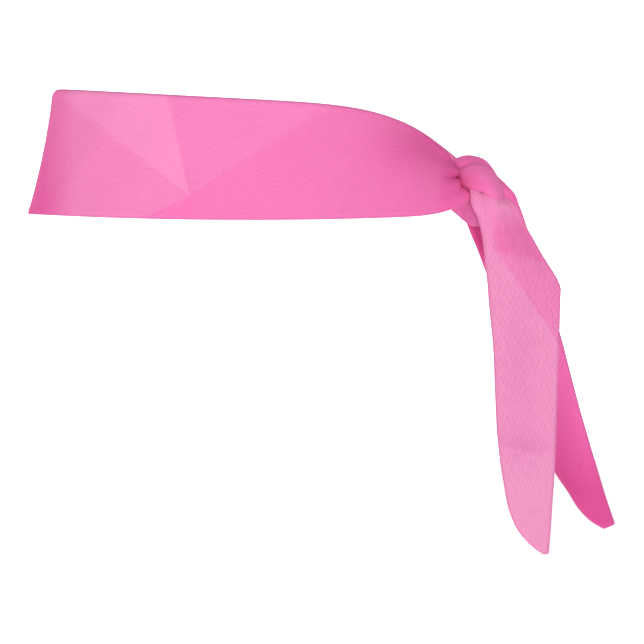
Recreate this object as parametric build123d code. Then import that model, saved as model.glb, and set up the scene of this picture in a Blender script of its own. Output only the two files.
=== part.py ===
from build123d import *

import os
from math import cos, radians, sin

# Tie headband, in millimetres. +Z is up, -X is the forehead and +X the back of the head, where the knot is.
# The origin is the centre of the head opening, at the band's mid height.
# The fabric is two knitted layers, a printed face and a lining, sewn together along their edges.

# ---- Driving dimensions ----
LAYER = 0.7  # one knitted layer
GAP = 0.5  # between the layers, where the seam thread lies
THREAD_CLEARANCE = 0.15  # from the thread to each layer
SEAM_INSET = 1.2  # from an edge to its seam thread
SEAM_WIDTH = 0.8  # breadth of the stitched line

FRONT_X = -95.9  # outer face at the forehead, at mid height
FRONT_LEAN = 0.2  # how far back the forehead leans for each millimetre up
BACK_X = 97.0  # outer face at the back of the head
HALF_BREADTH = 78.0  # half the width across the temples
BACK_TAPER = 0.15  # how much the oval narrows towards the knot
OVAL_POINTS = 24
SLEEVE_HALF_HEIGHT = 38.0  # the untrimmed sleeve, taller than the band

# The band's edges seen from the side: the upper one slopes back, then falls to the knot, and the lower one sags
# a little in the middle and rises to the knot.
TOP_FRONT_Z = 28.9
TOP_FRONT_X = -88.0
TOP_SLOPE = 0.052
TOP_FALL = 23.3
TOP_FALL_START = -10.0
TOP_FALL_LENGTH = 105.0
TOP_FALL_POWER = 4.5
BOTTOM_LOW_Z = -31.2
BOTTOM_BOW = 2.7  # rise of the lower edge at 100 mm from the middle
BOTTOM_RISE = 5.0
BOTTOM_RISE_START = 60.0
BOTTOM_RISE_LENGTH = 38.0
BOTTOM_RISE_POWER = 4
EDGE_START_X = -112.0
EDGE_END_X = 100.0
EDGE_STEPS = 20

KNOT_SLOT = 9.0  # each end of the band stops this far from the middle plane, beside the knot
THREAD_STEP = 2.5  # degrees of turn between two sections of a seam thread
SLOT_TURN = 8.0  # degrees from the middle plane to the ends of a seam thread
CLOSING_TURN = 75.0  # where on the far side the hand-closed stretch of the lower seam starts
CLOSING_SPAN = 35.0  # degrees of turn that it takes

KNOT_X = 108.5
KNOT_Z = -16.5
KNOT_TILT = 25.0  # degrees that the knot's axis leans back from upright
WRAP_LENGTH = 11.5  # half the length of the wrap along its course
WRAP_DEPTH = 8.0  # half its depth across the head
WRAP_THICKNESS = 2.6
WRAP_HEIGHT = 13.0
CORE_HEIGHT = 15.0
LOBE_CLEARANCE = 0.2
LOBE_LENGTH = 9.6
LOBE_DEPTH = 6.6
CROWN_RISE = 8.0
LOWER_RISE = 9.0
LOBE_SEAT = 7.8  # from the knot's middle to the foot of each lobe

SWING_X = 109.0  # the pivot that both tails swing about
SWING_Z = -21.0
TAIL_HEAD = 8.0  # radius of a tail's gathered top
TAIL_OFFSET = 8.6  # from the middle plane to a tail's inner side
BEND_GAP = 2.0  # between the upper and lower part of a tail
SEAM_POINTS = 90  # corners of the stitched line round a tail

NEAR_BEND = (127.0, -100.0)
NEAR_LEAN = 8.8  # degrees from upright
NEAR_FRONT = [(109.3, -62), (112.7, -119), (119.2, -165)]
NEAR_TIP = [(134.0, -184.6), (137.6, -184.6)]
NEAR_BACK = [(140.8, -114), (142.6, -62)]

FAR_BEND = (137.5, -102.0)
FAR_LEAN = 21.0
FAR_FRONT = [(109.5, -70), (131.0, -123), (145.0, -154)]
FAR_TIP = [(162.8, -173.4), (167.8, -171.0)]
FAR_BACK = [(150.9, -115), (137.5, -66)]

TRIM_SIZE = 400.0  # larger than the part, for cutting blocks


def side_face(edges):
    """A face in the XZ plane, bounded by edges."""
    return Face(Wire(edges))


def slab(face, near_y, far_y):
    """A face of the XZ plane as a solid that reaches from near_y to far_y."""
    return extrude(face.moved(Location((0, near_y, 0))), amount=far_y - near_y, dir=(0, 1, 0))


def in_side_plane(points):
    return [(x, 0, z) for x, z in points]


def top_edge_z(x):
    fall = max(0.0, x - TOP_FALL_START) / TOP_FALL_LENGTH
    return TOP_FRONT_Z - TOP_SLOPE * (x - TOP_FRONT_X) - TOP_FALL * fall**TOP_FALL_POWER


def bottom_edge_z(x):
    rise = max(0.0, x - BOTTOM_RISE_START) / BOTTOM_RISE_LENGTH
    return BOTTOM_LOW_Z + BOTTOM_BOW * (x / 100) ** 2 + BOTTOM_RISE * rise**BOTTOM_RISE_POWER


def on_sleeve(turn, z, inset):
    """The point at height z on the leaning oval sleeve. turn is in degrees from the knot, towards the far side."""
    front = FRONT_X + FRONT_LEAN * z + inset
    back = BACK_X - inset
    along = cos(radians(turn))
    narrowing = 1 - BACK_TAPER * ((1 + along) / 2) ** 3
    y = (HALF_BREADTH - inset) * sin(radians(turn)) * narrowing
    return (back + front) / 2 + (back - front) / 2 * along, y, z


def oval(z, inset):
    """The closed curve round the head at height z, inset from the outer face."""
    turns = [360 * i / OVAL_POINTS for i in range(OVAL_POINTS)]
    return Wire(Spline([on_sleeve(turn, z, inset) for turn in turns], periodic=True))


def sleeve(outer_inset, inner_inset):
    """A tall thin sleeve round the head between two insets."""
    outer, inner = (
        Solid.make_loft([oval(-SLEEVE_HALF_HEIGHT, inset), oval(SLEEVE_HALF_HEIGHT, inset)], ruled=True)
        for inset in (outer_inset, inner_inset)
    )
    return Part(outer.wrapped) - Part(inner.wrapped)


def band_outline():
    """A block across the head between the band's two edges, without the slot for the knot."""
    step = (EDGE_END_X - EDGE_START_X) / EDGE_STEPS
    xs = [EDGE_START_X + step * i for i in range(EDGE_STEPS + 1)]
    high = in_side_plane([(x, top_edge_z(x)) for x in xs])
    low = in_side_plane([(x, bottom_edge_z(x)) for x in xs])
    edges = [Spline(high), Line(high[-1], low[-1]), Spline(low), Line(low[0], high[0])]
    block = slab(side_face(edges), -TRIM_SIZE / 2, TRIM_SIZE / 2)
    return block - Pos(TRIM_SIZE / 2, 0, 0) * Box(TRIM_SIZE, 2 * KNOT_SLOT, TRIM_SIZE)


def seam_section(turn, edge_z, rise):
    """The thread's cross-section at one turn, its lower side at rise above the edge."""
    x = on_sleeve(turn, 0, 0)[0]
    for _ in range(3):
        x = on_sleeve(turn, edge_z(x), 0)[0]
    low = edge_z(x) + rise
    high = low + SEAM_WIDTH
    outer = LAYER + THREAD_CLEARANCE
    inner = LAYER + GAP - THREAD_CLEARANCE
    corners = [(high, outer), (low, outer), (low, inner), (high, inner)]
    return Wire.make_polygon([on_sleeve(turn, z, inset) for z, inset in corners], close=True)


def seam_thread(edge_z, rise, start, end):
    """A flat seam thread between the layers, from one turn to another."""
    steps = round((end - start) / THREAD_STEP)
    turns = [start + (end - start) * i / steps for i in range(steps + 1)]
    return Solid.make_loft([seam_section(turn, edge_z, rise) for turn in turns], ruled=True)


def seam_run(edge_z, rise, limits):
    """A seam thread as quarter-turn runs, end to end."""
    return [seam_thread(edge_z, rise, start, end) for start, end in zip(limits, limits[1:])]


def band_parts():
    outline = band_outline()
    closing_end = CLOSING_TURN + CLOSING_SPAN
    last_turn = 360 - SLOT_TURN
    stitch_gap = THREAD_STEP / 4
    top_rise = -SEAM_INSET - SEAM_WIDTH
    top = seam_run(top_edge_z, top_rise, [SLOT_TURN, 90, 180, 270, last_turn])
    before = seam_run(bottom_edge_z, SEAM_INSET, [SLOT_TURN, CLOSING_TURN])
    after = seam_run(bottom_edge_z, SEAM_INSET, [closing_end, 180, 270, last_turn])
    closing = seam_thread(bottom_edge_z, SEAM_INSET, CLOSING_TURN + stitch_gap, closing_end - stitch_gap)
    return {
        "band_face": sleeve(0, LAYER) & outline,
        "band_lining": sleeve(LAYER + GAP, 2 * LAYER + GAP) & outline,
        "band_top_seam_thread": Compound(top),
        "band_bottom_seam_thread": Compound(before + after),
        "closing_stitch": closing,
    }


def knot_place(shape, along=0.0):
    """Puts a shape made about the Z axis on the knot's tilted axis."""
    return Pos(KNOT_X, 0, KNOT_Z) * Rot(0, KNOT_TILT, 0) * Pos(0, 0, along) * shape


def oval_post(half_length, half_depth, height):
    return extrude(Ellipse(half_length, half_depth), amount=height / 2, both=True)


def lobe(rise):
    """Half an egg, standing on the XY plane."""
    egg = scale(Sphere(1), by=(LOBE_LENGTH, LOBE_DEPTH, rise))
    return egg & Pos(0, 0, rise) * Box(TRIM_SIZE, TRIM_SIZE, 2 * rise)


def knot_parts():
    core_length = WRAP_LENGTH - WRAP_THICKNESS - LOBE_CLEARANCE
    core_depth = WRAP_DEPTH - WRAP_THICKNESS - LOBE_CLEARANCE
    tube = oval_post(WRAP_LENGTH, WRAP_DEPTH, WRAP_HEIGHT)
    tube -= oval_post(WRAP_LENGTH - WRAP_THICKNESS, WRAP_DEPTH - WRAP_THICKNESS, WRAP_HEIGHT)
    near_half = Pos(0, -TRIM_SIZE / 2 - LOBE_CLEARANCE / 2, 0) * Box(TRIM_SIZE, TRIM_SIZE, TRIM_SIZE)
    far_half = Pos(0, TRIM_SIZE / 2 + LOBE_CLEARANCE / 2, 0) * Box(TRIM_SIZE, TRIM_SIZE, TRIM_SIZE)
    return {
        "knot_wrap": knot_place(tube & near_half),
        "knot_back_turn": knot_place(tube & far_half),
        "knot_core": knot_place(oval_post(core_length, core_depth, CORE_HEIGHT)),
        "knot_crown": knot_place(lobe(CROWN_RISE), LOBE_SEAT),
        "knot_lower_lobe": knot_place(Rot(180, 0, 0) * lobe(LOWER_RISE), -LOBE_SEAT),
    }


def tail_outline(front, tip, back):
    """The whole tail seen from the side: a round gathered top, straight back edge and blade-cut front edge."""
    start = (SWING_X - TAIL_HEAD, SWING_Z)
    end = (SWING_X + TAIL_HEAD, SWING_Z)
    crest = (SWING_X, SWING_Z + TAIL_HEAD)
    front_points = in_side_plane([start] + front + tip[:1])
    back_points = in_side_plane(tip[1:] + back + [end])
    edges = [Spline(front_points), Line(front_points[-1], back_points[0])]
    edges += [Line(a, b) for a, b in zip(back_points, back_points[1:])]
    edges += [ThreePointArc(back_points[-1], (crest[0], 0, crest[1]), front_points[0])]
    return side_face(edges)


def drawn_in(outline, inset):
    """A polygon just inside a tail's outline."""
    line = outline.outer_wire().offset_2d(-inset)
    return Face(Wire.make_polygon([line @ (i / SEAM_POINTS) for i in range(SEAM_POINTS)], close=True))


def half_plane(bend, lean, gap, below):
    """A block on one side of the bend line, which lies across a tail that leans back."""
    turn = Rot(0, -lean, 0)
    shift = -(TRIM_SIZE + gap) / 2 if below else (TRIM_SIZE + gap) / 2
    return Pos(bend[0], 0, bend[1]) * turn * Pos(0, 0, shift) * Box(TRIM_SIZE, TRIM_SIZE, TRIM_SIZE)


def tail_parts(name, side, bend, lean, front, tip, back):
    """The layers and threads of one tail. side is -1 for the near tail and 1 for the far one."""
    whole = tail_outline(front, tip, back)
    stitched = drawn_in(whole, SEAM_INSET) - drawn_in(whole, SEAM_INSET + SEAM_WIDTH)
    lining_y = side * TAIL_OFFSET
    thread_y = side * (TAIL_OFFSET + LAYER + THREAD_CLEARANCE)
    thread_end = side * (TAIL_OFFSET + LAYER + GAP - THREAD_CLEARANCE)
    face_y = side * (TAIL_OFFSET + LAYER + GAP)
    lining = slab(whole, lining_y, lining_y + side * LAYER)
    face = slab(whole, face_y, face_y + side * LAYER)
    thread = slab(stitched, thread_y, thread_end)
    crown_clear = Pos(SWING_X, 0, SWING_Z) * Rot(90, 0, 0) * Cylinder(2 * TAIL_HEAD, TRIM_SIZE)
    upper = half_plane(bend, lean, BEND_GAP, below=False)
    lower = half_plane(bend, lean, BEND_GAP, below=True)
    return {
        f"{name}_upper_face": face & upper,
        f"{name}_upper_lining": lining & upper,
        f"{name}_upper_seam_threads": (thread & upper) - crown_clear,
        f"{name}_lower_face": face & lower,
        f"{name}_lower_lining": lining & lower,
        f"{name}_lower_seam_thread": thread & lower,
    }


parts = {}
parts.update(band_parts())
parts.update(knot_parts())
parts.update(tail_parts("near_tail", -1, NEAR_BEND, NEAR_LEAN, NEAR_FRONT, NEAR_TIP, NEAR_BACK))
parts.update(tail_parts("far_tail", 1, FAR_BEND, FAR_LEAN, FAR_FRONT, FAR_TIP, FAR_BACK))

os.makedirs("parts", exist_ok=True)
for node, shape in parts.items():
    export_step(shape, f"parts/{node}.step")
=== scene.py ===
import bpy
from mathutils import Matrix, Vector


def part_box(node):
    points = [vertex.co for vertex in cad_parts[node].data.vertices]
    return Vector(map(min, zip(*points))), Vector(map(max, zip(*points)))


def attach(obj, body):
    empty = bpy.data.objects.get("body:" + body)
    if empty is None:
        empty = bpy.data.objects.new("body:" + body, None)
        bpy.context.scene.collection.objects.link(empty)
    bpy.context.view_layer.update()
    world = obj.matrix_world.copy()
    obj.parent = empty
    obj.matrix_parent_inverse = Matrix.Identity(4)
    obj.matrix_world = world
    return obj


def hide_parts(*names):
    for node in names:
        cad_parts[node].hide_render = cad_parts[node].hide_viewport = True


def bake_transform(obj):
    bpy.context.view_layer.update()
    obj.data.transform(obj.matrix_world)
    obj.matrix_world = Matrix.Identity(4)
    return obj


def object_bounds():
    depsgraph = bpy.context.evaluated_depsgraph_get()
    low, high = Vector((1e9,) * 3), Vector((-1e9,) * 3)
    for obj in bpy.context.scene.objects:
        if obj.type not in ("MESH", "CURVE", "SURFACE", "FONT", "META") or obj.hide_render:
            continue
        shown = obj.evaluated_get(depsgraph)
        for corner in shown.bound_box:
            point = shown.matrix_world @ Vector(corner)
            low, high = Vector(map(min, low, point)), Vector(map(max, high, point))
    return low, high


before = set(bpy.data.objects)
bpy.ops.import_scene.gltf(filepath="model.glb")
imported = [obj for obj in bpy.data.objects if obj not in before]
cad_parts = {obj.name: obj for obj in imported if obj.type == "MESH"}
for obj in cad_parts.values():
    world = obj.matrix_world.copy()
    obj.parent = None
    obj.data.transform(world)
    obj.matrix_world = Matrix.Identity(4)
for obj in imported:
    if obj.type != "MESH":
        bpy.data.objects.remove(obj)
cad_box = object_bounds()

import copy
from math import e, pi

import bpy
import bmesh
import numpy as np
from mathutils import Vector

# A tie headband: a band of two knitted layers round the head, a half knot at the back and two tails.
# Lengths here are millimetres in the row frame until a mesh is made. -X is the forehead, +Z is up.
MM = 0.001


# ---- Measures taken from the frame ----
def box_mm(node):
    """The low and high corners of a node's box."""
    low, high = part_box(node)
    return np.array(low) / MM, np.array(high) / MM


def middle_of(*nodes):
    """The middle of the box that holds these nodes."""
    corners = [corner for node in nodes for corner in box_mm(node)]
    return (np.min(corners, axis=0) + np.max(corners, axis=0)) / 2


BAND_LOW, BAND_HIGH = box_mm("band_face")
KNOT = middle_of("knot_core")
PART_LOW, PART_HIGH = (np.array(corner) / MM for corner in cad_box)

# ---- Cloth ----
LAYER = 0.62  # one knitted layer
GROOVE = 0.07  # half the gap between the layers at the turned edge
EDGE_ROUND = 0.9  # how far in from the edge the turned cloth is rounded
PUFF = 0.16  # the turned seam allowance, felt as a low ridge inside the edge
PUFF_AT = 2.2
PUFF_WIDTH = 1.0
RIM = 0.8  # how far in from the edge the painted shade of the rounded edge reaches
THREAD_RADIUS = 0.2
STITCH = 2.3  # length of one stitch
THREAD_SIDES = 6
THREAD_STEP = 0.6
EDGE_COLUMNS = [0, 0.12, 0.35, 0.7, 1.1, 1.6, 2.2, 3.0]  # distances in from the edge


def unit(vectors):
    """The same directions at length 1."""
    return vectors / np.maximum(np.linalg.norm(vectors, axis=-1, keepdims=True), 1e-9)


def run_length(points):
    """How far along a line each of its points lies."""
    steps = np.linalg.norm(np.diff(points, axis=0), axis=1)
    return np.concatenate([[0], np.cumsum(steps)])


def smooth_rows(rows, step):
    """Rows of guide points, joined by smooth curves and spaced evenly along their middle."""
    rows = np.asarray(rows, float)
    at = run_length(rows.mean(axis=1))
    slopes = np.gradient(rows, at, axis=0)

    def place(t):
        k = np.clip(np.searchsorted(at, t, side="right") - 1, 0, len(at) - 2)
        gap = (at[k + 1] - at[k])[:, None, None]
        s = ((t - at[k]) / (at[k + 1] - at[k]))[:, None, None]
        a, b = rows[k], rows[k + 1]
        start, end = slopes[k] * gap, slopes[k + 1] * gap
        return (
            a * (2 * s**3 - 3 * s**2 + 1)
            + start * (s**3 - 2 * s**2 + s)
            + b * (3 * s**2 - 2 * s**3)
            + end * (s**3 - s**2)
        )

    fine = np.linspace(0, at[-1], 16 * len(at))
    length = run_length(place(fine).mean(axis=1))
    count = max(4, round(length[-1] / step) + 1)
    return place(np.interp(np.linspace(0, length[-1], count), length, fine))


def columns(half_width, step):
    """Places across a strip, from -1 to 1, close together at its turned edges."""
    inner = np.arange(EDGE_COLUMNS[-1] + step, half_width, step)
    left = -1 + np.concatenate([EDGE_COLUMNS, inner[:-1] if len(inner) > 1 else inner]) / half_width
    left = left[left < -step / half_width / 4]
    return np.concatenate([left, [0], -left[::-1]])


def across(rows, places):
    """A grid of points: each row's two or three guides joined by a line or an even bow."""
    v = places[None, :, None]
    if rows.shape[1] == 2:
        return rows[:, :1] * (1 - v) / 2 + rows[:, 1:] * (1 + v) / 2
    first, middle, last = rows[:, :1], rows[:, 1:2], rows[:, 2:]
    return first * v * (v - 1) / 2 + middle * (1 - v**2) + last * v * (v + 1) / 2


def normals_of(grid, towards):
    """The grid's normals, on the side that faces towards on the whole."""
    normal = unit(np.cross(np.gradient(grid, axis=0), np.gradient(grid, axis=1)))
    if np.sum(normal * towards) < 0:
        normal = -normal
    return normal


def press(grid, normal, start, end, width, depth, fade=0.7):
    """A crease in the cloth, deepest at start and gone at end, both in the side view (x, z)."""
    flat = grid[..., [0, 2]]
    start, end = np.array(start, float), np.array(end, float)
    line = end - start
    t = np.clip(((flat - start) @ line) / (line @ line), 0, 1)
    away = np.linalg.norm(flat - start - t[..., None] * line, axis=-1)
    push = depth * np.exp(-((away / width) ** 2)) * (1 - t) ** fade
    return grid - normal * push[..., None]


class Strip:
    """A stretch of the sewn strip, as a grid on the plane between its layers."""

    def __init__(self, grid, normal, flat_half, round_end=False):
        self.grid = grid
        self.normal = normal
        self.u = run_length(grid[:, grid.shape[1] // 2])
        widths = np.stack([run_length(row) for row in grid])
        edge = np.minimum(widths, widths[:, -1:] - widths)
        if round_end:
            edge = np.minimum(edge, np.abs(self.u - self.u[-1])[:, None])
        self.edge = edge
        self.v = (widths / widths[:, -1:] * 2 - 1) * flat_half
        rise = np.clip(edge / EDGE_ROUND, 0, 1)
        self.height = GROOVE + (LAYER - GROOVE) * np.sqrt(1 - (1 - rise) ** 2)
        self.height += PUFF * np.exp(-(((edge - PUFF_AT) / PUFF_WIDTH) ** 2)) * np.clip(edge / PUFF_AT, 0, 1)
        lift = normal * self.height[..., None]
        self.shade = np.stack([normals_of(grid + lift, normal), normals_of(grid - lift, -normal)], axis=-1)

    def part(self, rows):
        piece = copy.copy(self)
        for name in ("grid", "normal", "u", "v", "edge", "height", "shade"):
            setattr(piece, name, getattr(self, name)[rows])
        return piece


def mesh_object(name, points, faces, uvs, rim, normals=None):
    """A smooth piece with two maps in metres: Strip along and across the cloth, Print in the side view."""
    mesh = bpy.data.meshes.new(name)
    mesh.from_pydata([tuple(p) for p in points * MM], [], faces)
    piece = bpy.data.objects.new(name, mesh)
    bpy.context.scene.collection.objects.link(piece)
    work = bmesh.new()
    work.from_mesh(mesh)
    bmesh.ops.recalc_face_normals(work, faces=work.faces)
    work.to_mesh(mesh)
    work.free()
    corner = np.empty(len(mesh.loops), int)
    mesh.loops.foreach_get("vertex_index", corner)
    for map_name, places in (("Strip", uvs), ("Print", points[:, [0, 2]])):
        layer = mesh.uv_layers.new(name=map_name)
        layer.data.foreach_set("uv", (places[corner] * MM).astype(np.float32).ravel())
    mesh.attributes.new("rim", "FLOAT", "POINT").data.foreach_set("value", rim.astype(np.float32))
    mesh.polygons.foreach_set("use_smooth", [True] * len(mesh.polygons))
    if normals is not None:
        mesh.normals_split_custom_set_from_vertices([tuple(n) for n in normals])
    return piece


def sheet_faces(rows, cols, start=0):
    """The four-sided faces of a grid of points."""
    i = np.arange(rows - 1)[:, None] * cols + np.arange(cols - 1)[None] + start
    return np.stack([i, i + cols, i + cols + 1, i + 1], axis=-1).reshape(-1, 4)


def cloth(name, strip, sides=(1,)):
    """One layer of the strip (sides of 1 or -1), or both in one piece (sides of 1 and -1)."""
    rows, cols = strip.edge.shape
    offsets = [side * strip.height for side in sides]
    if len(sides) == 1:
        offsets.append(np.full_like(strip.height, sides[0] * GROOVE * 0.5))
    points = np.concatenate([(strip.grid + strip.normal * o[..., None]).reshape(-1, 3) for o in offsets])
    first = 0 if sides[0] == 1 else 1
    shade = np.concatenate([strip.shade[..., side].reshape(-1, 3) for side in (first, 1 - first)])
    half = rows * cols
    faces = [tuple(f) for f in sheet_faces(rows, cols)]
    faces += [tuple(f[::-1]) for f in sheet_faces(rows, cols, half)]
    border = [i * cols for i in range(rows)] + [(rows - 1) * cols + j for j in range(1, cols)]
    border += [i * cols + cols - 1 for i in range(rows - 2, -1, -1)] + list(range(cols - 2, 0, -1))
    for a, b in zip(border, border[1:] + border[:1]):
        faces.append((a, a + half, b + half, b))
    uv = np.stack([np.broadcast_to(strip.u[:, None], strip.v.shape), strip.v], axis=-1).reshape(-1, 2)
    # How near each point lies to an edge, for the painted shade there.
    rim = np.exp(-((strip.edge / RIM) ** 2)).ravel()
    return mesh_object(name, points, faces, np.tile(uv, (2, 1)), np.tile(rim, 2), shade)


def thread(name, paths):
    """Seam thread along open paths, swelling a little at each stitch."""
    points, faces, uvs = [], [], []
    for path in paths:
        length = run_length(path)
        at = np.linspace(0, length[-1], max(3, round(length[-1] / THREAD_STEP)))
        line = np.stack([np.interp(at, length, path[:, k]) for k in range(3)], axis=1)
        along = unit(np.gradient(line, axis=0))
        side = unit(np.cross(along, [0.31, 0.9, 0.3]))
        up = np.cross(side, along)
        radius = THREAD_RADIUS * (0.75 + 0.45 * np.abs(np.sin(pi * at / STITCH)))
        turn = 2 * pi * np.arange(THREAD_SIDES) / THREAD_SIDES
        ring = np.cos(turn)[None, :, None] * side[:, None] + np.sin(turn)[None, :, None] * up[:, None]
        first = sum(len(p) for p in points)
        points.append((line[:, None] + ring * radius[:, None, None]).reshape(-1, 3))
        uvs.append(np.repeat(np.stack([at, at * 0], axis=1), THREAD_SIDES, axis=0))
        for i in range(len(at) - 1):
            for j in range(THREAD_SIDES):
                a, b = first + i * THREAD_SIDES + j, first + i * THREAD_SIDES + (j + 1) % THREAD_SIDES
                faces.append((a, b, b + THREAD_SIDES, a + THREAD_SIDES))
        faces.append(tuple(range(first, first + THREAD_SIDES)))
        end = first + (len(at) - 1) * THREAD_SIDES
        faces.append(tuple(range(end + THREAD_SIDES - 1, end - 1, -1)))
    points = np.concatenate(points)
    return mesh_object(name, points, faces, np.concatenate(uvs), np.zeros(len(points)))


# ---- Materials ----
def srgb(*levels):
    """A colour read as 0 to 255 levels, as the linear values a shader takes."""
    levels = np.array(levels) / 255
    linear = np.where(levels <= 0.04045, levels / 12.92, ((levels + 0.055) / 1.055) ** 2.4)
    return (*linear, 1.0)


class Tree:
    """A material's nodes, with short calls for the ones used here."""

    def __init__(self, name):
        self.material = bpy.data.materials.new(name)
        self.material.use_nodes = True
        self.nodes = self.material.node_tree.nodes
        self.links = self.material.node_tree.links
        self.shader = self.nodes["Principled BSDF"]

    def put(self, socket, value):
        if isinstance(value, bpy.types.NodeSocket):
            self.links.new(value, socket)
        else:
            socket.default_value = value

    def add(self, kind, inputs=(), **settings):
        node = self.nodes.new(kind)
        for key, value in settings.items():
            setattr(node, key, value)
        for key, value in dict(inputs).items():
            self.put(node.inputs[key], value)
        return node

    def maths(self, operation, *values, clamp=False):
        node = self.add("ShaderNodeMath", enumerate(values), operation=operation, use_clamp=clamp)
        return node.outputs[0]

    def mix(self, factor, a, b, blend="MIX"):
        node = self.add("ShaderNodeMix", data_type="RGBA", blend_type=blend)
        self.put(node.inputs["Factor"], factor)
        self.put(node.inputs[6], a)
        self.put(node.inputs[7], b)
        return node.outputs[2]

    def noise(self, vector, scale, detail=2.0, rough=0.5):
        inputs = {"Vector": vector, "Scale": scale, "Detail": detail, "Roughness": rough}
        return self.add("ShaderNodeTexNoise", inputs).outputs[0]

    def spread(self, value, low, high, to_low=0.0, to_high=1.0, kind="LINEAR"):
        """A value mapped from low and high to to_low and to_high, and held there beyond them."""
        inputs = {"Value": value, "From Min": low, "From Max": high, "To Min": to_low, "To Max": to_high}
        return self.add("ShaderNodeMapRange", inputs, interpolation_type=kind).outputs[0]

    def wave(self, kind, value, pitch):
        """A SINE or COSINE along a value in metres, with a pitch in millimetres."""
        return self.maths(kind, self.maths("MULTIPLY", value, 2 * pi / (pitch * MM)))

    def ramp(self, factor, stops):
        node = self.add("ShaderNodeValToRGB", {"Fac": factor})
        elements = node.color_ramp.elements
        while len(elements) < len(stops):
            elements.new(0.5)
        for element, (at, colour) in zip(elements, stops):
            element.position = at
            element.color = colour
        return node.outputs[0]

    def beyond(self, x, z, start, end, blur):
        """1 to the left of the print's line from start to end, 0 to its right, in millimetres."""
        dx, dz = end[0] - start[0], end[1] - start[1]
        size = (dx * dx + dz * dz) ** 0.5
        a = self.maths("MULTIPLY", self.maths("SUBTRACT", z, start[1] * MM), dx / size)
        b = self.maths("MULTIPLY", self.maths("SUBTRACT", x, start[0] * MM), dz / size)
        side = self.maths("DIVIDE", self.maths("SUBTRACT", a, b), blur * MM)
        return self.maths("ADD", side, 0.5, clamp=True)

    def glow(self, x, z, centre, reach):
        """1 at a place in the print, fading out evenly round it, all in millimetres."""
        a = self.maths("DIVIDE", self.maths("SUBTRACT", x, centre[0] * MM), reach[0] * MM)
        b = self.maths("DIVIDE", self.maths("SUBTRACT", z, centre[1] * MM), reach[1] * MM)
        far = self.maths("ADD", self.maths("MULTIPLY", a, a), self.maths("MULTIPLY", b, b))
        return self.maths("POWER", e, self.maths("MULTIPLY", far, -1.0))


CELL_ALONG = 4.6  # pitch of the open mesh along the strip
CELL_ACROSS = 2.6
KNIT_DEPTH = 0.16
LOOP = 0.62  # one knitted loop, far smaller than the mesh pattern
# The pink and share of the painted shade along each rounded turned edge.
RIM_SHADE_COLOUR = srgb(196, 100, 150)
RIM_SHADE_SHARE = 0.45
HOLE_TINT = (0.89, 0.86, 0.88, 1)
# Lifts soft patches as painted light of the cloth's undulations.
UNDULATION_LIGHT_TINT = (1.03, 1.1, 1.07, 1)
CELL_WEIGHT = 0.5
STRAND_WEIGHT = 2.2
STRAND_SCALE = (230.0, 760.0, 1.0)  # per metre, along and across the strip
SPECULAR = 0.12
SHEEN = 0.05
SHEEN_ROUGHNESS = 0.45


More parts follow.
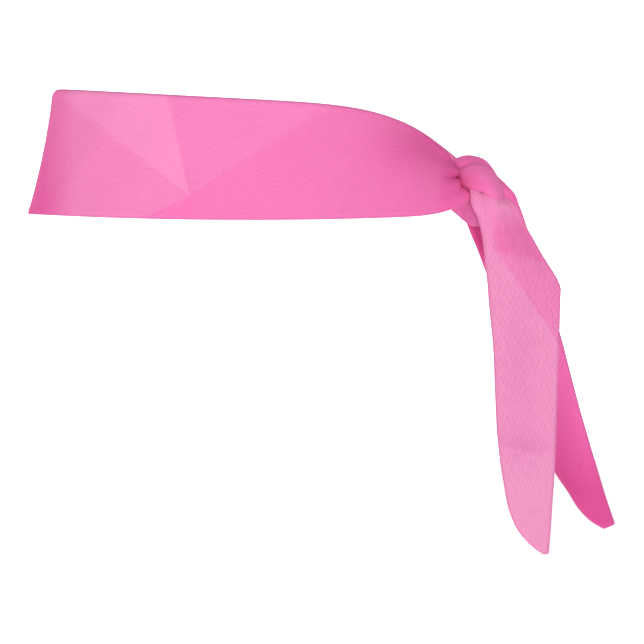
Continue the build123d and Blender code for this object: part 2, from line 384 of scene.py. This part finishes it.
def knit(name, colour_of, dash=0.5):
    """A printed mesh knit, with painted light in soft patches and painted shade at its turned edges.
    colour_of(tree, x, z) gives the print's colour, with any painted light and shade, at a place in the side
    view.
    """
    tree = Tree(name)
    uv = tree.add("ShaderNodeUVMap", uv_map="Strip").outputs[0]
    place = tree.add("ShaderNodeSeparateXYZ", {0: tree.add("ShaderNodeUVMap", uv_map="Print").outputs[0]})
    split = tree.add("ShaderNodeSeparateXYZ", {0: uv})
    u, v = split.outputs[0], split.outputs[1]

    # The open mesh: rows of long holes, uneven in place and in strength.
    shift = tree.maths("MULTIPLY", tree.maths("SUBTRACT", tree.noise(uv, 130.0), 0.5), 0.0022)
    lean = tree.maths("MULTIPLY", tree.maths("SUBTRACT", tree.noise(uv, 210.0), 0.5), 0.0011)
    along = tree.wave("COSINE", tree.maths("ADD", u, shift), CELL_ALONG)
    over = tree.wave("COSINE", tree.maths("ADD", v, lean), CELL_ACROSS)
    cell = tree.maths("MULTIPLY", along, tree.maths("POWER", over, 3.0))
    strands = tree.add("ShaderNodeMapping", {"Vector": uv, "Scale": STRAND_SCALE}).outputs[0]
    strand = tree.maths("SUBTRACT", tree.noise(strands, 1.0, 2.5, 0.55), 0.5)
    cell_part = tree.maths("MULTIPLY", cell, CELL_WEIGHT)
    strand_part = tree.maths("MULTIPLY", strand, STRAND_WEIGHT)
    hole = tree.spread(tree.maths("ADD", cell_part, strand_part), -0.55, 0.75, kind="SMOOTHSTEP")

    # The single loops and the fuzz of the yarn.
    ribs = tree.wave("SINE", v, LOOP)
    loops = tree.wave("SINE", tree.maths("ADD", u, tree.maths("MULTIPLY", ribs, 0.0001)), LOOP)
    fibre = tree.noise(uv, 2600.0, 3.0, 0.6)

    # The print, darker in the holes, lighter in faint patches of painted light that stand for the cloth's
    # soft undulations, and with painted shade at the rounded turned edge.
    undulation_light = tree.noise(uv, 42.0, 3.0, 0.55)
    colour = colour_of(tree, place.outputs[0], place.outputs[1])
    darker = tree.mix(1.0, colour, HOLE_TINT, "MULTIPLY")
    colour = tree.mix(tree.maths("MULTIPLY", hole, dash), colour, darker)
    lighter = tree.mix(1.0, colour, UNDULATION_LIGHT_TINT, "MULTIPLY")
    colour = tree.mix(tree.maths("MULTIPLY", undulation_light, 0.5), colour, lighter)
    # Painted shade along the rounded turned edge.
    rim = tree.add("ShaderNodeAttribute", attribute_name="rim").outputs["Fac"]
    colour = tree.mix(tree.maths("MULTIPLY", rim, RIM_SHADE_SHARE), colour, RIM_SHADE_COLOUR)

    yarn = tree.maths("MULTIPLY", tree.maths("ADD", loops, ribs), 0.12)
    fine = tree.maths("ADD", tree.maths("MULTIPLY", fibre, 0.3), yarn)
    height = tree.maths("SUBTRACT", fine, tree.maths("MULTIPLY", hole, 0.7))
    bump = tree.add("ShaderNodeBump", {"Height": height, "Strength": 0.55, "Distance": KNIT_DEPTH * MM})
    tree.put(tree.shader.inputs["Base Color"], colour)
    tree.put(tree.shader.inputs["Roughness"], tree.spread(fibre, 0.0, 1.0, 0.74, 0.92))
    tree.put(tree.shader.inputs["Normal"], bump.outputs[0])
    tree.shader.inputs["Specular IOR Level"].default_value = SPECULAR
    tree.shader.inputs["Sheen Weight"].default_value = SHEEN
    tree.shader.inputs["Sheen Roughness"].default_value = SHEEN_ROUGHNESS
    return tree.material


TWIST = 0.45  # pitch of the plies seen along the thread


def thread_material():
    """Two-tone plies that wind round the thread."""
    tree = Tree("seam_thread_polyester")
    uv = tree.add("ShaderNodeUVMap", uv_map="Strip").outputs[0]
    u = tree.add("ShaderNodeSeparateXYZ", {0: uv}).outputs[0]
    ply = tree.maths("ABSOLUTE", tree.maths("SINE", tree.maths("MULTIPLY", u, pi / (TWIST * MM))))
    colour = tree.mix(ply, srgb(218, 108, 164), srgb(240, 148, 194))
    bump = tree.add("ShaderNodeBump", {"Height": ply, "Strength": 0.5, "Distance": 0.05 * MM})
    tree.put(tree.shader.inputs["Base Color"], colour)
    tree.put(tree.shader.inputs["Normal"], bump.outputs[0])
    tree.shader.inputs["Roughness"].default_value = 0.55
    return tree.material


# ---- The band round the head ----
FRONT_LEAN = 0.2  # the forehead leans forward by this much for each millimetre down
FRONT_DROP = 28.5
BACK_TAPER = 0.15  # the loop is this much narrower towards the knot than an ellipse
BAND_HALF = 29.0  # half the band's depth
BACK_X = 97.0
LAYERS = 1.2  # the middle plane lies this far inside the outer face


def top_edge_z(x):
    """The height of the band's top edge: a slight slope, then a fall to the knot."""
    fall = np.maximum(0, x + 10) / 105
    return 28.9 - 0.052 * (x + 88) - 23.3 * fall**4.5


def bottom_edge_z(x):
    """The height of the band's bottom edge, which rises a little at the knot."""
    rise = np.maximum(0, x - 60) / 38
    return -31.2 + 2.7 * (x / 100) ** 2 + 5.0 * rise**4


def on_sleeve(turn, z):
    """The band's middle plane at a turn from the knot and a height."""
    half_breadth = BAND_HIGH[1] / 0.983
    front = BAND_LOW[0] + FRONT_LEAN * (z + FRONT_DROP) + LAYERS
    back = BACK_X - LAYERS
    along = np.cos(turn)
    narrowing = 1 - BACK_TAPER * ((1 + along) / 2) ** 3
    y = (half_breadth - LAYERS) * np.sin(turn) * narrowing
    return np.stack([(back + front) / 2 + (back - front) / 2 * along, y, z + 0 * y], axis=-1)


def smoothstep(x, low, high):
    """0 below low, 1 above high, and an even rise between."""
    t = np.clip((x - low) / (high - low), 0, 1)
    return t * t * (3 - 2 * t)


SWAY = 1 / 6000  # heights spread from MIDDLE_Z by this share for each millimetre towards the far side
MIDDLE_Z = (PART_LOW[2] + PART_HIGH[2]) / 2
FAR_TURN = 6.0  # where the band's far end meets the knot, in degrees round the head
NEAR_TURN = 347.5
TURN_STEPS = 430
COLUMN_STEP = 1.5
LEAN_IN = 7.0  # how far the top edge leans in over the head beside the knot
FLARE = 1.1  # the turned edges stand out a little at the forehead
DIP = 2.3  # the top edge dips at the middle of the forehead
DIP_ANGLE = 8.0
TUCK = 4.5  # each end of the band turns in over this length


def tucked(grid, ends):
    """The band's ends turn in towards the knot, so no cut edge shows."""
    length = run_length(grid[:, grid.shape[1] // 2])
    for from_end, depth, side in ((length[-1] - length, ends[0], 1), (length, ends[1], -1)):
        curl = np.clip(1 - from_end / TUCK, 0, 1)
        grid[..., 1] += side * depth * (1 - np.sqrt(1 - curl**2))[:, None]
    return grid


def band_strip():
    """The whole way round the head, gathered in at both ends."""
    turns = np.radians(np.linspace(FAR_TURN, NEAR_TURN, TURN_STEPS))
    places = columns(BAND_HALF, COLUMN_STEP)
    share = (places + 1) / 2
    turn = turns[:, None] + 0 * share[None]
    z = np.zeros_like(turn)
    near_end = smoothstep(turn, np.radians(322), np.radians(NEAR_TURN))
    far_end = smoothstep(-turn, np.radians(-38), np.radians(-FAR_TURN))
    pull = near_end**2 * (1 - share[None]) * 7.0 + far_end**2 * 4.5
    for _ in range(4):
        x = on_sleeve(turn, z)[..., 0]
        low = bottom_edge_z(x + pull) + 2.5 * far_end**3
        high = top_edge_z(np.minimum(x, 94.6)) - 3.5 * far_end**3 - 1.7 * near_end**6
        z = low + (high - low) * share[None]
    grid = on_sleeve(turn, z)
    grid[..., 0] += pull
    grid[..., 2] += (z - MIDDLE_Z) * SWAY * grid[..., 1]
    beside_knot = smoothstep(np.abs(turn - pi), np.radians(95), np.radians(158))
    grid[..., 1] *= 1 - LEAN_IN / 40 * beside_knot * share[None] ** 2
    forehead = smoothstep(-np.abs(turn - pi), np.radians(-40), 0)
    top_share, low_share = np.maximum(places, 0)[None], np.maximum(-places, 0)[None]
    grid[..., 0] -= FLARE * forehead * (1.2 * top_share**2 + 0.8 * low_share**5)
    dip = np.exp(-((np.degrees(turn - pi) / DIP_ANGLE) ** 2))
    grid[..., 2] -= DIP * dip * top_share**8
    waves = 0.32 * np.sin(turn * 7 + 2.2 * places[None]) + 0.2 * np.sin(turn * 15 - 3.1 * places[None] + 1.0)
    outward = unit(grid * [1, 1, 0])
    grid += outward * (waves * (1 - np.clip(np.abs(turn - pi) / pi, 0, 1) ** 6))[..., None]
    grid = tucked(grid, (3.6, 3.0))
    return grid, normals_of(grid, outward)


band_grid, band_normal = band_strip()


def at_knot(dx, dz):
    """A place in the side view, measured from the knot's middle."""
    return KNOT[0] + dx, KNOT[2] + dz


def fold_ends(grid, normal):
    """The creases that fan out from the knot over the band's near end, and plainer ones on its far end."""
    near = (grid[..., 1] < 0)[..., None]
    folded = press(grid, normal, at_knot(-10.5, 5.0), at_knot(-20, 4.4), 1.3, 2.4, 0.9)
    folded = press(folded, normal, at_knot(-9.0, 1.5), at_knot(-20, -7.0), 2.2, 1.8, 0.8)
    folded = press(folded, normal, at_knot(-14.0, 10.0), at_knot(-30, 19.0), 2.4, 1.0, 0.8)
    folded = press(folded, normal, at_knot(-8.0, -1.0), at_knot(-26, -9.0), 3.0, -1.6, 0.7)
    folded = press(folded, normal, at_knot(-12.0, 7.5), at_knot(-24, 9.0), 2.2, -1.0, 0.7)
    far = press(grid, normal, at_knot(-6, 3.0), at_knot(-34, 7.0), 1.8, 3.0, 0.8)
    far = press(far, normal, at_knot(-6, -3.5), at_knot(-32, -9.0), 2.0, 3.0, 0.8)
    far = press(far, normal, at_knot(-6, -0.3), at_knot(-30, -1.5), 1.4, 2.0, 0.8)
    return np.where(near, folded, far)


band_grid = fold_ends(band_grid, band_normal)
band_normal = normals_of(band_grid, band_grid * [1, 1, 0])
band = Strip(band_grid, band_normal, BAND_HALF)
forehead = int(np.argmin(band.grid[:, band.grid.shape[1] // 2, 0]))
band.u = band.u - band.u[forehead]

CORNER = (-27.1, -20.7)  # where the large facets of the print meet, on each side of the head
FACETS = [  # each facet's last angle round the corner, in degrees, and its tone
    (-154.2, srgb(245, 134, 189)),
    (-55.4, srgb(249, 122, 186)),
    (32.6, srgb(243, 122, 182)),
    (102.6, srgb(243, 130, 187)),
    (142.4, srgb(248, 144, 195)),
]
FACET_BLUR = 0.005  # half the width of the line between facets, as a share of a full turn
# The pink of the painted shade on the band.
DEEP = srgb(243, 92, 168)


def band_print_and_shade(tree, x, z):
    """Large flat printed facets that meet at one corner on each side, under painted shade: deeper towards
    the knot, at the forehead edge, past a soft line beside the knot, on the slope by the knot's top and in
    the pinch by the knot.
    """
    away = tree.maths("SUBTRACT", x, CORNER[0] * MM)
    up = tree.maths("SUBTRACT", z, CORNER[1] * MM)
    share = tree.maths("ADD", tree.maths("DIVIDE", tree.maths("ARCTAN2", up, away), 2 * pi), 0.5)
    tones = [tone for _, tone in FACETS]
    stops = [(0.0, tones[0])]
    for (angle, tone), next_tone in zip(FACETS, tones[1:] + tones[:1]):
        at = angle / 360 + 0.5
        stops += [(at - FACET_BLUR, tone), (at + FACET_BLUR, next_tone)]
    facets = tree.ramp(share, stops)
    # Painted shade where the band turns away towards the knot.
    colour = tree.mix(tree.spread(x, 0.04, 0.1, to_high=0.3), facets, DEEP)
    # Painted shade at the forehead edge, where the band turns away.
    colour = tree.mix(tree.spread(x, -0.08, -0.095, to_high=0.9), colour, DEEP)
    # Painted shade past a soft line beside the knot, where the band gathers in.
    end = tree.maths("SUBTRACT", 1.0, tree.beyond(x, z, (86.2, -28.0), (88.6, -6.0), 3.0))
    colour = tree.mix(tree.maths("MULTIPLY", end, 0.5), colour, DEEP)
    # Painted shade on the band's slope beside the knot's top, where it turns away.
    slope = tree.glow(x, z, (88.0, 3.0), (25.0, 13.0))
    colour = tree.mix(tree.maths("MULTIPLY", slope, 0.75), colour, srgb(216, 80, 148))
    # Painted shade in the pinch beside the knot.
    pinch = tree.glow(x, z, (KNOT[0] - 16.0, KNOT[2] + 4.8), (5.0, 3.0))
    return tree.mix(tree.maths("MULTIPLY", pinch, 0.5), colour, srgb(200, 60, 130))


def lining_print(tree, x, z):
    """The lining isn't printed: one tone."""
    return srgb(238, 140, 188)


BAND_KNIT = knit("band_print_knit", band_print_and_shade)
LINING_KNIT = knit("lining_knit", lining_print, 0.5)
THREAD = thread_material()


def finish_piece(piece, material, nodes=()):
    """Gives a piece its material and slot, and puts it in the place of its CAD nodes."""
    piece.data.materials.append(material)
    if nodes:
        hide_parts(*nodes)
    return piece


band_face = cloth("band_face_knit", band, (1,))
band_lining = cloth("band_lining_knit", band, (-1,))
band_top_seam = thread("band_top_seam", [band.grid[:, -1]])
band_low_seam = thread("band_bottom_seam", [band.grid[:, 0]])
finish_piece(band_face, BAND_KNIT, ["band_face"])
finish_piece(band_lining, LINING_KNIT, ["band_lining"])
finish_piece(band_top_seam, THREAD, ["band_top_seam_thread"])
finish_piece(band_low_seam, THREAD, ["band_bottom_seam_thread", "closing_stitch"])
for piece in (band_face, band_lining, band_top_seam, band_low_seam):
    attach(piece, "band")


# ---- The knot ----
def mottled(dark, light):
    """A print that drifts softly between two tones."""

    def colour_of(tree, x, z):
        uv = tree.add("ShaderNodeUVMap", uv_map="Strip").outputs[0]
        return tree.mix(tree.noise(uv, 60.0), dark, light)

    return colour_of


def knot_rows(rows):
    """Rows of guide points given from the knot's middle in x and z."""
    return np.array(rows, float) + [KNOT[0], 0, KNOT[2]]


WRAP_ROWS = [
    [(-15.6, -7, 9.5), (-14.2, -8.5, 5.0), (-12.4, -8, -0.5)],
    [(-11.9, -10.5, 8.8), (-10.4, -12.4, 4.6), (-8.8, -10.8, -0.6)],
    [(-8.0, -12.3, 10.6), (-6.0, -15.2, 4.8), (-5.0, -12.3, -1.4)],
    [(-4.2, -12.8, 11.2), (-2.6, -16.4, 4.4), (-2.0, -13.2, -2.0)],
    [(-0.3, -12.3, 10.3), (0.6, -16.4, 3.0), (1.4, -13.6, -4.2)],
    [(3.0, -11, 7.8), (3.8, -15.0, 0.7), (4.6, -13.2, -6.2)],
    [(5.6, -8.5, 4.2), (6.4, -12, -1.2), (6.9, -11.0, -6.7)],
    [(7.3, -4.5, 1.2), (8.1, -7, -3), (8.1, -6.5, -7.1)],
    [(7.4, 0, 0.8), (8.1, -1, -3.2), (7.9, -1, -7.5)],
    [(5.6, 6, 2.8), (6.9, 7.0, -2.8), (6.2, 6, -8.8)],
    [(2, 9.5, 5.2), (2.6, 12.0, -1.8), (1.6, 9.2, -10.2)],
    [(-3, 11.5, 6.8), (-3, 14.2, -0.8), (-3.4, 11.2, -10.4)],
    [(-8, 11.0, 7.0), (-8.4, 13.4, 0.0), (-8, 11, -8.6)],
    [(-12.5, 7.5, 5.5), (-13.2, 8.6, 0.2), (-12.5, 7.5, -5.2)],
    [(-13.0, 4.0, 4.5), (-13.6, 4.4, 0.2), (-13.0, 4.0, -4.2)],
]
CROWN_ROWS = [
    [(-14.2, -9.4, 8.0), (-16.2, -4.5, 11.6), (-15, 6, 6)],
    [(-11.9, -11, 9.2), (-13.6, -4.0, 13.0), (-12.5, 8.5, 6)],
    [(-8.3, -12, 9.6), (-9.4, -3.2, 14.2), (-9, 10, 5.5)],
    [(-4.6, -12.3, 9.2), (-5.2, -2.4, 13.9), (-5, 10.5, 5.0)],
    [(-1.2, -12, 7.5), (-0.9, -1.5, 12.4), (-1, 10, 4.0)],
    [(1.3, -10.5, 5.5), (2.1, -1.5, 9.4), (2, 8.5, 2.5)],
    [(2.5, -9, 2.5), (4.4, -2, 5.8), (4.5, 6.5, 1.0)],
    [(3, -7, -1), (6.5, -2, 1.5), (6.0, 5, -1.5)],
]
BACK_ROWS = [
    [(-1, -5, 4), (3, -4, 6.5), (2, 3, 5)],
    [(2, -8, 1), (6, -6, 3.5), (6, 2, 2.5)],
    [(4, -9, -3), (9.1, -6.5, 0.0), (9.5, 1, -0.5)],
    [(5.5, -9.2, -7), (11.9, -6.5, -3.6), (12.3, 0, -4)],
    [(7.5, -8.6, -11), (13.5, -6.8, -8.2), (13.9, -2, -8.5)],
    [(9, -8.0, -16), (15.4, -7.0, -13.2), (16.0, -5, -13.5)],
    [(15, -7.8, -21.5), (18.0, -7.2, -20), (18.9, -6.6, -20)],
    [(20.9, -8.3, -27.2), (21.2, -8.2, -27), (21.5, -8.1, -26.8)],
]
LOBE_ROWS = [
    [(-8, 9.0, -2), (-6, 9.6, -6.5), (-2, 8.2, -11)],
    [(-14, 3.5, -4.5), (-11.6, 4.2, -9), (-7.5, 3.5, -13.6)],
    [(-16.2, -3.5, -9.2), (-12.6, -3.5, -12.2), (-8.9, -3.5, -15.6)],
    [(-14.5, -7.6, -6.5), (-10.8, -8.0, -10.5), (-7.4, -7.2, -17.0)],
    [(-11, -9.2, -3), (-7, -9.4, -8.5), (-4.8, -8.4, -17.6)],
    [(-7.5, -9.4, -1), (-3.8, -9.2, -7.5), (-2.2, -8, -17.2)],
    [(-4, -8.4, 0), (-1, -7.6, -7), (0.5, -6.5, -16.0)],
]
KNOT_STEP = 0.8
LOBE_HALF = 8.0
LOBE_COLUMN_STEP = 0.9
TAIL_HALF = 16.0  # half the strip's width where it isn't gathered, for the knit's scale


def knot_piece(name, rows, material, nodes, tail_body=None):
    """One lobe: both layers in one piece, with a seam thread along each edge."""
    guides = smooth_rows(knot_rows(rows), KNOT_STEP)
    grid = across(guides, columns(LOBE_HALF, LOBE_COLUMN_STEP))
    normal = normals_of(grid, grid - KNOT)
    strip = Strip(grid, normal, TAIL_HALF)
    piece = finish_piece(cloth(name, strip, (1, -1)), material, nodes)
    seam = finish_piece(thread(name + "_seam", [strip.grid[:, 0], strip.grid[:, -1]]), THREAD)
    for item in (piece, seam):
        if tail_body:
            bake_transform(item)
        else:
            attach(item, "band")


WRAP_KNIT = knit("wrap_knit", mottled(srgb(230, 106, 168), srgb(238, 124, 182)))
# These tones are lifted above the cloth's own as painted light, for light the crown's upward faces miss.
DEEP_KNIT = knit("knot_deep_knit", mottled(srgb(252, 106, 178), srgb(255, 124, 190)))
MAUVE_KNIT = knit("knot_lobe_knit", mottled(srgb(214, 98, 156), srgb(220, 108, 164)))
knot_piece("knot_wrap_cloth", WRAP_ROWS, WRAP_KNIT, ["knot_wrap"])
knot_piece("knot_crown_cloth", CROWN_ROWS, DEEP_KNIT, ["knot_crown"])
knot_piece(
    "knot_back_turn_cloth", BACK_ROWS, DEEP_KNIT, ["knot_back_turn"], "near_tail_upper"
)
knot_piece("knot_lower_lobe_cloth", LOBE_ROWS, MAUVE_KNIT, ["knot_lower_lobe"])


CORE_HALF = [8.6, 7.0, 7.6]  # its half sizes
CORE_SHIFT = [-2.5, 0, 0.8]


def knot_core():
    """The gathered cloth inside the knot, as a creased lump."""
    work = bmesh.new()
    bmesh.ops.create_icosphere(work, subdivisions=5, radius=1.0)
    points = np.array([v.co for v in work.verts])
    work.verts.index_update()
    faces = [tuple(v.index for v in f.verts) for f in work.faces]
    work.free()
    turn = np.arctan2(points[:, 2], points[:, 0])
    crease = 1 + 0.07 * np.sin(7 * turn + 3 * points[:, 1]) + 0.03 * np.sin(15 * turn)
    placed = points * CORE_HALF * crease[:, None] + KNOT + CORE_SHIFT
    uv = np.stack([turn * 9, points[:, 1] * 8], axis=1)
    return mesh_object("knot_core_cloth", placed, faces, uv, np.zeros(len(points)))


core = finish_piece(knot_core(), DEEP_KNIT, ["knot_core"])
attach(core, "band")

# ---- The tails ----
NEAR_ROWS = [
    [(-6.8, -10.0, 2.5), (-1.5, -11.0, 0.2), (5.0, -10.0, -4.0)],
    [(-7.0, -11.4, -3.0), (2.5, -13.4, -6.0), (13.3, -10.2, -9.2)],
    [(-6.0, -11.4, -8), (4, -13.2, -10.6), (15.0, -9.0, -12.0)],
    [(-3.7, -11.0, -12.8), (6, -12.4, -15.5), (16.6, -8.5, -16.0)],
    [(-2, -10.4, -20), (8.5, -11.4, -21.5), (20.2, -8.3, -22)],
    [(-0.7, -10.3, -30), (12, -10.8, -31), (26, -8.6, -32)],
    [(0.5, -10, -42), (16, -10.4, -42), (32.6, -9.2, -42.5)],
    [(0.9, -10, -46.5), (17, -10.3, -46.2), (34.0, -9.3, -46)],
    [(1.2, -10, -51), (17.5, -10.2, -50.5), (33.9, -9.5, -50)],
    [(3.3, -9.6, -73.5), (18, -9.8, -73), (33.3, -9.5, -72)],
    [(4.2, -9.6, -95.5), (18, -9.6, -95), (32.5, -9.5, -94)],
    [(5.3, -9.6, -115.5), (18.5, -9.6, -115), (31.9, -9.5, -114)],
    [(7.9, -9.6, -134.5), (19.5, -9.6, -134), (31.1, -9.5, -133)],
    [(11.1, -9.6, -149.5), (20.8, -9.6, -148.5), (30.1, -9.5, -147)],
    [(15.5, -9.6, -158.5), (22.5, -9.6, -158), (29.5, -9.5, -157)],
    [(21, -9.6, -164.5), (25, -9.6, -164), (29, -9.5, -163)],
    [(26, -9.6, -168.3), (27.4, -9.6, -168.2), (28.6, -9.5, -167.9)],
]
FAR_ROWS = [
    [(-7, -6, -8), (-3, -6, -6.5), (1.5, -6, -5)],
    [(-9, -5, -13), (-2, -5, -11), (5.5, -5, -9)],
    [(-7.3, -3, -19.8), (1.5, -3, -18.5), (10.5, -3, -17.5)],
    [(-4.3, -1, -27), (5.5, -1, -27), (15.5, -1, -26.5)],
    [(-0.6, 2, -36.5), (10, 2, -37.5), (21.5, 2, -38.5)],
    [(4, 5, -49.5), (15, 5, -50), (27, 5, -50)],
    [(7.5, 8, -65.5), (19.5, 8, -64.5), (33, 8, -63.5)],
    [(11.5, 9.5, -81.5), (24, 9.5, -82.5), (38.5, 9.5, -83.5)],
    [(17.8, 9.5, -98.5), (30, 9.5, -99.5), (43, 9.5, -100.5)],
    [(25.5, 9.5, -117.5), (37, 9.5, -118.5), (48.5, 9.5, -119.5)],
    [(32.3, 9.5, -131.6), (42.5, 9.5, -132), (52.5, 9.5, -133)],
    [(38, 9.5, -140), (47, 9.5, -141.5), (55.7, 9.5, -143.5)],
    [(43.5, 9.5, -148.5), (50.5, 9.5, -149), (57.9, 9.5, -150)],
    [(49, 9.5, -153.8), (54, 9.5, -153.5), (59, 9.5, -153.3)],
    [(54.3, 9.5, -156.9), (56.8, 9.5, -156), (59.4, 9.5, -154.8)],
]
TAIL_STEP = 1.2
TAIL_COLUMNS_HALF = 15.0
RIPPLE_LENGTH = 45.0  # how far down a tail its ripples die away
CUT_SHARE = 0.36  # how far down a tail its upper piece ends


def ripples(grid, normal, depth, waves):
    """Soft folds that run down a tail from the knot and die away."""
    u = run_length(grid[:, grid.shape[1] // 2])[:, None]
    v = np.linspace(-1, 1, grid.shape[1])[None]
    wave = sum(np.sin(k * pi * v + phase + u / 40) / n for n, (k, phase) in enumerate(waves, 1))
    return grid + normal * (depth * wave * np.exp(-u / RIPPLE_LENGTH))[..., None]


def tail(name, rows, towards, depth, waves, material, bow, cup, twist):
    """A tail in two halves, each with a face, a lining and a seam thread.

    bow moves its middle height sideways, cup its middle line, and twist its two edges apart, all in y.
    """
    guides = smooth_rows(knot_rows(rows), TAIL_STEP)
    down = np.linspace(0, 1, len(guides))
    guides[..., 1] += bow * np.sin(pi * down**1.3)[:, None]
    guides[:, 1, 1] += cup * np.sin(pi * down)
    guides[..., 1] += twist * (smoothstep(down, 0.3, 1.0))[:, None] * np.array([1, 0, -1])
    grid = across(guides, columns(TAIL_COLUMNS_HALF, TAIL_STEP))
    normal = normals_of(grid, np.array(towards, float))
    grid = ripples(grid, normal, depth, waves)
    normal = normals_of(grid, np.array(towards, float))
    whole = Strip(grid, normal, TAIL_HALF, round_end=True)
    cut = round(CUT_SHARE * len(grid))
    halves = {"upper": slice(0, cut + 1), "lower": slice(cut, None)}
    for half, rows_of in halves.items():
        strip = whole.part(rows_of)
        ends = [strip.grid[:, 0], strip.grid[:, -1]]
        if half == "lower":
            ends = [np.concatenate([strip.grid[:, 0], strip.grid[-1], strip.grid[::-1, -1]])]
            seam_node = f"{name}_lower_seam_thread"
        else:
            seam_node = f"{name}_upper_seam_threads"
        face = cloth(f"{name}_{half}_face_knit", strip, (1,))
        lining = cloth(f"{name}_{half}_lining_knit", strip, (-1,))
        seam = thread(f"{name}_{half}_seam", ends)
        finish_piece(face, material, [f"{name}_{half}_face"])
        finish_piece(lining, material, [f"{name}_{half}_lining"])
        finish_piece(seam, THREAD, [seam_node])
        for piece in (face, lining, seam):
            if half == "upper":
                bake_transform(piece)
            else:
                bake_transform(piece)


def near_print_and_shade(tree, x, z):
    """A pale facet below a slanting line, a deeper patch beside the knot, and painted shade of soft folds
    lower down.
    """
    pale, middle, deep = srgb(236, 146, 191), srgb(235, 130, 183), srgb(232, 117, 174)
    below = tree.beyond(x, z, (139.8, -85.1), (113.2, -45.5), 1.2)
    colour = tree.mix(below, middle, pale)
    left = tree.beyond(x, z, (113.4, -50.0), (111.4, -24.0), 4.0)
    above = tree.beyond(x, z, (113.0, -45.5), (136.0, -51.5), 2.5)
    patch = tree.maths("MULTIPLY", above, tree.maths("SUBTRACT", 1.0, left))
    low = tree.spread(z, -0.026, -0.036)
    colour = tree.mix(above, colour, srgb(237, 140, 188))
    colour = tree.mix(tree.maths("MULTIPLY", patch, low), colour, deep)
    shade = tree.glow(x, z, (124.0, -96.0), (6.0, 26.0))
    colour = tree.mix(tree.maths("MULTIPLY", shade, 0.35), colour, srgb(222, 126, 176))
    fold = tree.beyond(x, z, (118.0, -135.5), (139.0, -140.5), 3.0)
    # Painted shade in the crease at the fold.
    crease = tree.glow(x, z, (124.0, -137.0), (11.0, 9.0))
    colour = tree.mix(tree.maths("MULTIPLY", crease, 0.45), colour, srgb(214, 118, 168))
    tip = tree.maths("SUBTRACT", 1.0, fold)
    return tree.mix(tree.maths("MULTIPLY", tip, 0.4), colour, srgb(239, 154, 197))


def far_print_and_light(tree, x, z):
    """A pink with painted light on its upper part, against the near tail's shadow, painted shadow of the
    knot at its top, and deeper towards the tip.
    """
    # Painted light lifts the upper part, where the near tail's shadow falls; deeper towards the tip.
    colour = tree.mix(tree.spread(z, -0.1, -0.155), srgb(255, 130, 200), srgb(222, 84, 153))
    # Painted shadow of the knot at the top of the tail.
    return tree.mix(tree.spread(z, -0.075, -0.045), colour, srgb(216, 76, 143))


NEAR_KNIT = knit("near_tail_knit", near_print_and_shade, 1.0)
FAR_KNIT = knit("far_tail_knit", far_print_and_light, 0.6)
NEAR_WAVES = [(2.2, 0.4), (4.1, 1.1)]  # ripples across a tail: how many half waves, and where they start
FAR_WAVES = [(2.0, 1.0), (3.7, 0.2)]
tail("near_tail", NEAR_ROWS, (0, -1, 0), 0.9, NEAR_WAVES, NEAR_KNIT, -2.0, -1.2, 0.8)
tail("far_tail", FAR_ROWS, (0, 1, 0), 0.8, FAR_WAVES, FAR_KNIT, 2.4, 1.4, 0.8)


# ---- Floor, backdrop, lights and camera ----
FLOOR_GAP = 60.0  # from the lowest tail tip to the floor
ROOM = 10.0  # radius of the pale room, in metres
FLOOR_GLOW = 0.65
WALL_GLOW = 1.2
WORLD_GLOW = 0.46
LAMP_SIZE = 1.6
VIEW_DISTANCE = 6.0
VIEW_WIDTH = 0.2962  # metres across the picture at the head's middle
VIEW_CENTRE = (0.0331, -0.0782)


def pale(name, glow):
    tree = Tree(name)
    tree.shader.inputs["Base Color"].default_value = (0.93, 0.93, 0.93, 1)
    tree.shader.inputs["Roughness"].default_value = 0.9
    tree.shader.inputs["Emission Color"].default_value = (1, 1, 1, 1)
    tree.shader.inputs["Emission Strength"].default_value = glow
    return tree.material


def room():
    """A plain pale floor, and a pale room wall that the lights and the object don't see."""
    floor_z = PART_LOW[2] * MM - FLOOR_GAP * MM
    bpy.ops.mesh.primitive_circle_add(vertices=96, radius=ROOM, fill_type="NGON", location=(0, 0, floor_z))
    floor = bpy.context.object
    floor.name = "floor"
    floor.data.materials.append(pale("pale_floor", FLOOR_GLOW))
    bpy.ops.mesh.primitive_uv_sphere_add(segments=64, ring_count=32, radius=ROOM * 0.99)
    wall = bpy.context.object
    wall.name = "room_wall"
    wall.data.materials.append(pale("pale_wall", WALL_GLOW))
    wall.visible_diffuse = False
    wall.visible_glossy = False
    wall.visible_transmission = False
    wall.visible_shadow = False


def lamp(name, place, power):
    """A round soft light that shines at the middle of the part."""
    light = bpy.data.lights.new(name, "AREA")
    light.shape = "DISK"
    light.size = LAMP_SIZE
    light.energy = power
    item = bpy.data.objects.new(name, light)
    item.location = place
    target = Vector((0.03, 0.0, -0.04))
    item.rotation_euler = (target - item.location).to_track_quat("-Z", "Y").to_euler()
    bpy.context.scene.collection.objects.link(item)


def camera():
    """A long lens, square to the side of the head."""
    data = bpy.data.cameras.new("camera")
    data.sensor_width = 36.0
    data.lens = data.sensor_width * VIEW_DISTANCE / VIEW_WIDTH
    data.clip_end = 50.0
    item = bpy.data.objects.new("camera", data)
    item.location = (VIEW_CENTRE[0], -VIEW_DISTANCE, VIEW_CENTRE[1])
    item.rotation_euler = (pi / 2, 0, 0)
    bpy.context.scene.collection.objects.link(item)
    bpy.context.scene.camera = item


room()
world = bpy.data.worlds.new("studio")
bpy.context.scene.world = world
world.use_nodes = True
world.node_tree.nodes["Background"].inputs["Color"].default_value = (1, 1, 1, 1)
world.node_tree.nodes["Background"].inputs["Strength"].default_value = WORLD_GLOW
lamp("key", (-0.9, -2.6, 1.2), 17.5)
lamp("fill", (1.2, -2.6, 0.1), 12.0)
lamp("back", (-0.6, 2.6, 1.2), 14.0)
camera()
bpy.context.scene.view_settings.view_transform = "Standard"
